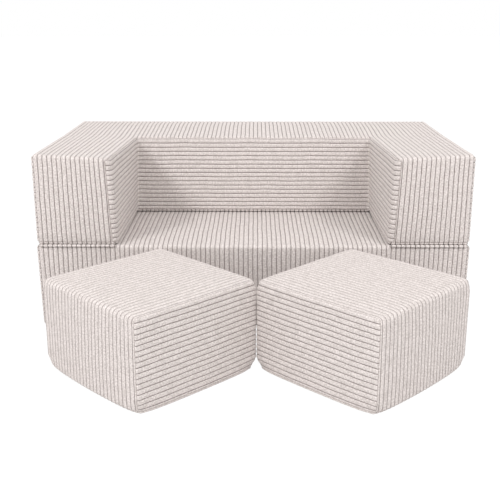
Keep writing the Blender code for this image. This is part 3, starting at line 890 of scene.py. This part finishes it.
def back_warp(points):
    """The back leans away at the top, where the arms stand further apart in front than at the rear. The
    arms rise a little towards their front outer corners."""
    x, y, z = points.T
    width = np.abs(x)
    rise = np.clip((z - HINGE_Z) / (BACK_TOP - HINGE_Z), 0, 1)
    ahead = np.clip((CAVITY_Y - y) / (CAVITY_Y - FACE_Y), 0, 1)
    shift = WELL_FOOT * (1 - rise) + (WELL_TOP_REAR + (WELL_TOP_FRONT - WELL_TOP_REAR) * ahead) * rise
    in_arm = smooth((SIDE_X - width) / (SIDE_X - CAVITY_HALF_REAR))
    share = np.where(width < CAVITY_HALF_REAR, (width / CAVITY_HALF_REAR) ** 2, in_arm)
    from_rear = smooth((REAR_Y - y) / (REAR_Y - CAVITY_Y))
    lean = WELL_LEAN * rise * from_rear * (1 - ahead)
    outward = np.clip((width - CAVITY_HALF_FRONT) / (SIDE_X - CAVITY_HALF_FRONT), 0, 1)
    forward = np.clip((REAR_Y - y) / (REAR_Y - FACE_Y), 0, 1)
    lift = (ARM_LIFT_INSIDE * ahead + (ARM_LIFT_OUTSIDE - ARM_LIFT_INSIDE) * outward * forward) * rise
    return stacked(x + np.sign(x) * shift * share * from_rear, y + lean, z + lift)


def pouf_warp(points):
    """A pouf is stuffed full: its walls bow out towards the floor, except at its zip, and its corners are
    drawn in at the top and at the floor."""
    x, y, z = points.T
    across, along = x / POUF_HALF, y / POUF_HALF
    sunk = 1 - z / POUF_TOP
    near_floor = smooth(1 - z / POUF_DRAWN_REACH)
    near_top = smooth(1 - (POUF_TOP - z) / POUF_DRAWN_REACH)
    drawn_in = POUF_DRAWN_FLOOR * near_floor + POUF_DRAWN_TOP * near_top
    drawn = drawn_in * np.abs(across * along) ** POUF_DRAWN_POWER
    grown_x = POUF_GROWTH + POUF_END_BOW * sunk * (1 - along**2) - drawn
    grown_y = POUF_GROWTH + POUF_FRONT_BOW * sunk * (1 - across**2) - drawn
    past_zip = smooth((np.abs(x) - POUF_ZIP_END) / (POUF_HALF - POUF_ZIP_END))
    grown_y = np.where(y < 0, grown_y, grown_y * np.maximum(past_zip, smooth(z / POUF_ZIP_CLEAR - 1)))
    return stacked(x * (1 + grown_x), y * (1 + grown_y), z)


def pouf_place(body):
    """A pouf's own frame: the middle of its underside, with its X axis along its zip."""
    joint = next(joint for joint in frame["joints"] if joint["name"] == body + "_zip_slide")
    mount = next(mount for mount in frame["record"]["mounts"] if mount["name"] == body + "_underside")
    x_axis = Vector(joint["axis"]).normalized()
    z_axis = Vector((0, 0, 1))
    turn = Matrix((x_axis, z_axis.cross(x_axis), z_axis)).transposed().to_4x4()
    return Matrix.Translation(mount["pos_m"]) @ turn


def wander(across, along, phase):
    """The slight sideways drift of the wales."""
    drift = 0.0
    for along_turns, across_turns, share in WANDER_WAVES:
        drift = drift + share * np.sin(along * along_turns + across * across_turns + phase / share)
    return WANDER * drift


def cut_rectangle(flat_x, flat_y, limits):
    """Cloth with a straight or curved edge on either side of each row."""
    low, high = limits(flat_y)
    spread_x = np.clip(flat_x, low, high)
    return spread_x, np.minimum(spread_x - low, high - spread_x), np.full(len(flat_x), False)


def cut_u(flat_x, flat_y, limits, hole):
    """Cloth with an arm on either side of the rows before the hole's end."""
    inner, outer = limits(flat_y)
    before_hole = flat_y < hole - CLOSE
    size = np.clip(np.abs(flat_x), np.where(before_hole, inner, 0), outer)
    corner = limits(np.full(1, hole - CLOSE))[0]
    wall = np.where(before_hole, inner, corner)
    to_hole = np.hypot(np.clip(size - wall, 0, None), np.clip(flat_y - hole, 0, None))
    return np.where(flat_x < 0, -size, size), np.minimum(outer - size, to_hole), np.abs(flat_x) <= inner


def cloth_grid(across, along, points, flat_x, flat_y):
    """A grid laid on these points, with their places across and along the wales as its cloth UV."""
    bm = bmesh.new()
    bmesh.ops.create_grid(bm, x_segments=len(across) - 1, y_segments=len(along) - 1, size=1.0)
    cloth = bm.loops.layers.uv.new("cloth")
    for number, vert in enumerate(bm.verts):
        vert.co = points[number]
        for loop in vert.link_loops:
            loop[cloth].uv = (flat_x[number], flat_y[number])
    return bm


def add_cloth(name, bm, body, thickness):
    """A panel's cloth in place of its solid, as thick as this inwards from its outer face."""
    mesh = mesh_of(bm, name)
    mesh.shade_smooth()
    made = add_piece(name + "_cloth", mesh, body, CORDUROY)
    wall = made.modifiers.new("cloth", "SOLIDIFY")
    wall.thickness = thickness
    wall.offset = -1
    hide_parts(name)
    return made


def sew(block, name, across, along, lay, limits, hole=None, slot=None, phase=0.0):
    """One panel: a grid of mesh lines along and across its wales, laid over its block.

    limits gives the cloth's edges in a row. hole is the row where the hole between a U-shaped panel's arms
    ends. slot is the opening for a zip, as its low and high place across and along.
    """
    flat_x, flat_y = spread(across, along)
    if hole is None:
        spread_x, edge, in_hole = cut_rectangle(flat_x, flat_y, limits)
    else:
        spread_x, edge, in_hole = cut_u(flat_x, flat_y, limits, hole)
    edge = np.minimum(edge, np.minimum(flat_y - along[0], along[-1] - flat_y))
    if slot:
        low_x, high_x, low_y, high_y = slot
        off_x = np.clip(np.maximum(low_x - flat_x, flat_x - high_x), 0, None)
        off_y = np.clip(np.maximum(low_y - flat_y, flat_y - high_y), 0, None)
        edge = np.minimum(edge, np.hypot(off_x, off_y))

    free = smooth(edge / TUCK_REACH)
    points, normals = lay(spread_x + wander(spread_x, flat_y, phase) * free, flat_y)
    ridge = ridge_height(spread_x)
    lift = PILE * (ridge * np.sqrt(smooth(edge / BEAD_REACH)) - 1) - TUCK * (1 - free)
    lift = lift + block.push(points, normals, edge)
    points = block.set_down(points + normals * lift[:, None])
    normals = normals @ np.array(block.place)[:3, :3].T

    bm = cloth_grid(across, along, points, spread_x, flat_y)
    out = bm.verts.layers.float_vector.new("out")
    for vert, normal in zip(bm.verts, normals):
        vert[out] = normal
    doomed = []
    for face in bm.faces:
        corners = [vert.index for vert in face.verts]
        x = flat_x[corners].mean()
        y = flat_y[corners].mean()
        in_slot = slot and slot[0] < x < slot[1] and slot[2] < y < slot[3]
        if in_slot or (hole is not None and y < hole and in_hole[corners].all()):
            doomed.append(face)
    bmesh.ops.delete(bm, geom=doomed, context="FACES")
    bmesh.ops.remove_doubles(bm, verts=bm.verts, dist=CLOTH_MERGE)
    bm.normal_update()
    facing = sum(face.normal.dot(face.verts[0][out]) * face.calc_area() for face in bm.faces)
    if facing < 0:
        bmesh.ops.reverse_faces(bm, faces=bm.faces)
    rims = [border for border in bm.edges if border.is_boundary]
    for vert in bmesh.ops.extrude_edge_only(bm, edges=rims)["geom"]:
        if isinstance(vert, bmesh.types.BMVert):
            vert.co -= vert[out] * HEM
    bm.verts.layers.float_vector.remove(out)

    made = add_cloth(name, bm, block.body, CLOTH)
    width = across[-1] - across[0] + 2 * HEM
    length = along[-1] - along[0] + 2 * HEM
    min(flat_area(along, limits, hole), width * length)


def flat_area(along, limits, hole):
    """The area that a panel is cut to, row by row."""
    middle = (along[1:] + along[:-1]) / 2
    low, high = limits(middle)
    if hole is None:
        widths = high - low
    else:
        widths = 2 * (high - np.where(middle < hole, low, 0))
    return float(((widths + 2 * HEM) * np.diff(along)).sum())


def straight(low, high):
    """Limits of a panel that is cut to a rectangle."""
    return lambda along: (np.full(len(along), low), np.full(len(along), high))


def around(middle, width):
    return middle - width / 2, middle + width / 2


def sew_box_cover(block, box, side_names, zip_length, shares):
    """The four panels of a box block's cover."""
    prefix = block.body + "_"
    low, high = box.along
    rear = box.path.arcs[0][1] + ZIP_HEIGHT - box.foot
    slot = (*around(0, zip_length), *around(rear, ZIP_SLOT_WIDTH))
    across = wale_lines(-box.across, box.across, shares, slot[:2])
    along = cross_lines(low, high, slot[2:], box.path.arcs)
    limits = straight(-box.across, box.across)
    sew(block, prefix + "wrap_panel", across, along, box.lay_wrap, limits, slot=slot, phase=WRAP_PHASE)

    low = box.low_y - box.end_wrap
    high = box.high_y + box.end_wrap
    along = cross_lines(low, high, arcs=box.foot_arcs(low, high))
    across = wale_lines(box.foot - box.end_foot, box.top + box.end_wrap, FINE_SHARES)
    for side, name in zip((-1, 1), side_names):
        sew(block, prefix + name, across, along, box.lay_end(side), box.end_limits, phase=END_PHASE + side)

    low, high = box.bottom_along()
    along = cross_lines(low, high, arcs=box.foot_arcs(low, high), step=HIDDEN_STEP)
    reach = box.bottom_limits(np.array([(low + high) / 2]))[1][0]
    across = wale_lines(-reach, reach, COARSE_SHARES)
    sew(block, prefix + "bottom_panel", across, along, box.lay_bottom, box.bottom_limits, phase=BOTTOM_PHASE)


def sew_back_cover(block):
    """The U-shaped block's top and bottom panels, and the strips round its inside and outside."""
    for name, plate, shares in (
        ("back_top_panel", Plate(BACK_TOP, 1, BACK_TOP_RADIUS, True), FINE_SHARES),
        ("back_bottom_panel", Plate(HINGE_Z + GAP / 2, -1, BACK_BOTTOM_RADIUS, False), COARSE_SHARES),
    ):
        reach = SIDE_X - plate.radius + plate.margin
        low, high, hole = plate.front, plate.rear, plate.wall_row
        arcs = (
            (FACE_Y + plate.radius - plate.radius * math.pi / 2, FACE_Y + INNER_CORNER),
            (hole, hole + plate.margin + CAVITY_FILLET),
            (REAR_Y - OUTER_CORNER, high),
        )
        along = cross_lines(low, high, (hole,), arcs)
        across = wale_lines(-reach, reach, shares)
        sew(block, name, across, along, plate.lay, plate.limits, hole=hole, phase=PLATE_PHASE + plate.up)

    start = (SIDE_X - 2 * OUTER_CORNER, FACE_Y)
    outside = Gusset([start, (SIDE_X, FACE_Y), (SIDE_X, REAR_Y)], [OUTER_CORNER, OUTER_CORNER])
    start = (-CAVITY_HALF_FRONT - 2 * INNER_CORNER, FACE_Y)
    wall = [(-CAVITY_HALF_FRONT, FACE_Y), (-CAVITY_HALF_REAR, CAVITY_Y)]
    inside = Gusset([start, *wall], [INNER_CORNER, CAVITY_FILLET])
    for name, gusset, corner, wrap, has_zip in (
        ("back_outer_gusset", outside, OUTER_CORNER, END_PANEL_WRAP, True),
        ("back_inner_gusset", inside, INNER_CORNER, GUSSET_WRAP, False),
    ):
        start = gusset.path.arcs[0][0] + corner * math.asin(1 - wrap / corner)
        finish = gusset.path.length - start
        slot = None
        if has_zip:
            at = gusset.low + ZIP_HEIGHT - GAP / 2 - BACK_BOTTOM_RADIUS
            slot = (*around(at, ZIP_SLOT_WIDTH), *around(gusset.path.length / 2, LONG_ZIP))
        across = wale_lines(0, gusset.height, FINE_SHARES, slot[:2] if slot else ())
        along = cross_lines(start, finish, slot[2:] if slot else (), gusset.path.arcs)
        limits = straight(0, gusset.height)
        sew(block, name, across, along, gusset.lay, limits, slot=slot, phase=GUSSET_PHASE + wrap / corner)


def add_hinge_strip(name):
    """The ribbed strip round the fold line that joins an arm's lower front edge to the seat."""
    low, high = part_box(name)
    across = wale_lines(low.x, high.x, FINE_SHARES)
    arc = HINGE_BEAD_RADIUS * 2 * (math.pi - HINGE_TAIL_ANGLE)
    along = np.linspace(-HINGE_TAIL, arc + HINGE_TAIL, HINGE_STEPS)
    flat_x, flat_y = spread(across, along)
    ridge = ridge_height(flat_x)
    edge = np.minimum(flat_x - across[0], across[-1] - flat_x)
    radius = HINGE_BEAD_RADIUS - HINGE_PILE * (1 - ridge * smooth(edge / BEAD_REACH))
    angle = HINGE_TAIL_ANGLE + np.clip(flat_y, 0, arc) / HINGE_BEAD_RADIUS
    beyond = np.where(flat_y < 0, -flat_y, np.where(flat_y > arc, flat_y - arc, 0)) / HINGE_TAIL
    y = np.cos(angle) * radius * (1 - beyond) + HINGE_TAIL * beyond
    z = np.sin(angle) * radius * (1 - beyond) + np.sign(np.sin(angle)) * CLOTH / 2 * beyond
    bm = cloth_grid(across, along, stacked(flat_x, FRONT_Y + y, HINGE_Z + z), flat_x, flat_y)
    bmesh.ops.reverse_faces(bm, faces=bm.faces)
    made = add_cloth(name, bm, "seat", CLOTH / 2)


def add_zip(block):
    """A zip's two tapes with the interlocked turns of its coil between them."""
    prefix = block.body + "_"
    node = frame["nodes"][prefix + "zip"]
    local = moved_by(block.place.inverted(), read_vectors(node.data, "co"))
    low, high = local.min(0), local.max(0)
    face = high[1] - ZIP_CHAIN_RISE
    half = (high[2] - low[2]) / 2
    middle = (high[2] + low[2]) / 2
    bm = bmesh.new()
    for side in (-1, 1):
        tape = bmesh.ops.create_grid(bm, x_segments=ZIP_TAPE_STEPS, y_segments=2, size=0.5)["verts"]
        size = Matrix.Diagonal((high[0] - low[0], half - ZIP_CHAIN_HALF / 2, 1, 1))
        upright = Matrix.Rotation(math.radians(90), 4, "X")
        place = Matrix.Translation((0, face, middle + side * (half + ZIP_CHAIN_HALF / 2) / 2))
        bmesh.ops.transform(bm, matrix=place @ upright @ size, verts=tape)
    count = int((high[0] - low[0]) / ZIP_PITCH) - 1
    for number in range(count):
        side = 1 if number % 2 else -1
        turn = bmesh.ops.create_cone(
            bm, cap_ends=True, segments=ZIP_COIL_SIDES, radius1=ZIP_COIL, radius2=ZIP_COIL * ZIP_TURN_TIP,
            depth=ZIP_CHAIN_HALF * ZIP_TURN_LENGTH,
        )["verts"]
        x = low[0] + (number + 1) * ZIP_PITCH
        z = middle + side * ZIP_CHAIN_HALF * ZIP_TURN_ASIDE
        lean = Matrix.Rotation(side * ZIP_LEAN, 4, "Y")
        flip = Matrix.Rotation(math.pi if side > 0 else 0, 4, "X")
        place = Matrix.Translation((x, face + ZIP_COIL * ZIP_TURN_RISE, z))
        bmesh.ops.transform(bm, matrix=place @ lean @ flip, verts=turn)
    bmesh.ops.transform(bm, matrix=block.place, verts=bm.verts)
    bmesh.ops.recalc_face_normals(bm, faces=bm.faces)
    made = add_piece(prefix + "zip_coil", mesh_of(bm, prefix + "zip"), block.body, ZIP_CLOTH)
    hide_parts(prefix + "zip")
    for part in ("zip_slider", "zip_pull"):
        dress(frame["nodes"][prefix + part].data, NICKEL)


SEAT_SIZE = (SIDE_X, FACE_Y, REAR_Y, HINGE_Z - GAP / 2)
POUF_SIZE = (POUF_HALF, -POUF_HALF, POUF_HALF, POUF_TOP)
BACK_CORES = ("back_foam_core", "left_arm_foam_core", "right_arm_foam_core")

seat = stuffing("seat", ["seat_foam_core"], box_held(*SEAT_SIZE, under_the_back), seat_crown, seat_warp)
back = stuffing("back", BACK_CORES, back_held, back_crown, back_warp)
left_pouf, right_pouf = (
    stuffing(body, [body + "_foam_core"], box_held(*POUF_SIZE), pouf_crown, pouf_warp, pouf_place(body))
    for body in ("left_pouf", "right_pouf")
)
blocks = (seat, back, left_pouf, right_pouf)
simulate(blocks)

seat_box = Box(*SEAT_SIZE, SEAT_EDGE_RADIUS, SEAT_EDGE_RADIUS, SEAT_RIM_RADIUS, SEAT_PANEL_WRAP)
pouf_box = Box(*POUF_SIZE, POUF_FOOT_RADIUS, POUF_TOP_RADIUS, POUF_RIM_RADIUS, POUF_PANEL_WRAP)
front_end, rear_end = "front_side_panel", "rear_side_panel"
sew_box_cover(seat, seat_box, ("left_side_panel", "right_side_panel"), LONG_ZIP, COARSE_SHARES)
sew_back_cover(back)
sew_box_cover(left_pouf, pouf_box, (rear_end, front_end), POUF_ZIP, FINE_SHARES)
sew_box_cover(right_pouf, pouf_box, (front_end, rear_end), POUF_ZIP, FINE_SHARES)
add_hinge_strip("left_hinge_strip")
add_hinge_strip("right_hinge_strip")
for block in blocks:
    add_zip(block)


def add_floor():
    """A pale floor that the camera sees as white with a faint shadow."""
    bm = bmesh.new()
    bmesh.ops.create_grid(bm, x_segments=1, y_segments=1, size=FLOOR_SIZE)
    bmesh.ops.translate(bm, vec=(0, 0, -FLOOR_DROP), verts=bm.verts)
    made = add_object("studio_floor", mesh_of(bm, "studio_floor"))
    pale = Material("pale_floor", Roughness=0.9, Base_Color=FLOOR_GREY)
    rays = ("Is Camera Ray", "Is Glossy Ray", "Is Transmission Ray")
    seen, glossy, passed = (pale.node("ShaderNodeLightPath", out=ray) for ray in rays)
    shown = pale.maths("MAXIMUM", seen, pale.maths("MAXIMUM", glossy, passed))
    glow = pale.node("ShaderNodeEmission", sockets={"Color": (1, 1, 1, 1), "Strength": GLOW_STRENGTH})
    lit = Node(pale, pale.surface.outputs[0])
    both = pale.node("ShaderNodeMixShader", sockets={0: shown * FLOOR_GLOW, 1: lit, 2: glow})
    pale.feed(pale.tree.nodes["Material Output"].inputs["Surface"], both)
    dress(made.data, pale.made)


def add_world():
    """An even white sky, which gives most of the light."""
    world = bpy.data.worlds.new("studio")
    world.use_nodes = True
    sky = world.node_tree.nodes["Background"]
    sky.inputs["Color"].default_value = (1, 1, 1, 1)
    sky.inputs["Strength"].default_value = 1.0
    bpy.context.scene.world = world


def add_lamp(name, azimuth, elevation, size, level):
    """A soft square lamp that faces the sofa, seen from it at these angles, in degrees."""
    lamp = bpy.data.lights.new(name, "AREA")
    lamp.size = size
    lamp.energy = level * (math.pi * LAMP_AWAY) ** 2
    made = add_object(name, lamp)
    azimuth, elevation = math.radians(azimuth), math.radians(elevation)
    flat = math.cos(elevation)
    way = Vector((flat * math.sin(azimuth), -flat * math.cos(azimuth), math.sin(elevation)))
    made.location = Vector(LAMP_TARGET) + way * LAMP_AWAY
    made.rotation_euler = (-way).to_track_quat("-Z", "Y").to_euler()


def add_camera():
    """The photograph's camera, as fitted to the sofa's corners and edges in it."""
    camera = bpy.data.cameras.new("camera")
    camera.lens = CAMERA_LENS
    camera.sensor_width = CAMERA_SENSOR
    made = add_object("camera", camera)
    made.location = CAMERA_PLACE
    made.rotation_euler = (math.radians(90 - CAMERA_DOWN), 0, math.radians(CAMERA_LEFT))
    bpy.context.scene.camera = made


add_floor()
add_world()
for lamp in LAMPS:
    add_lamp(*lamp)
add_camera()
bpy.context.scene.view_settings.view_transform = "Standard"

bpy.context.view_layer.update()
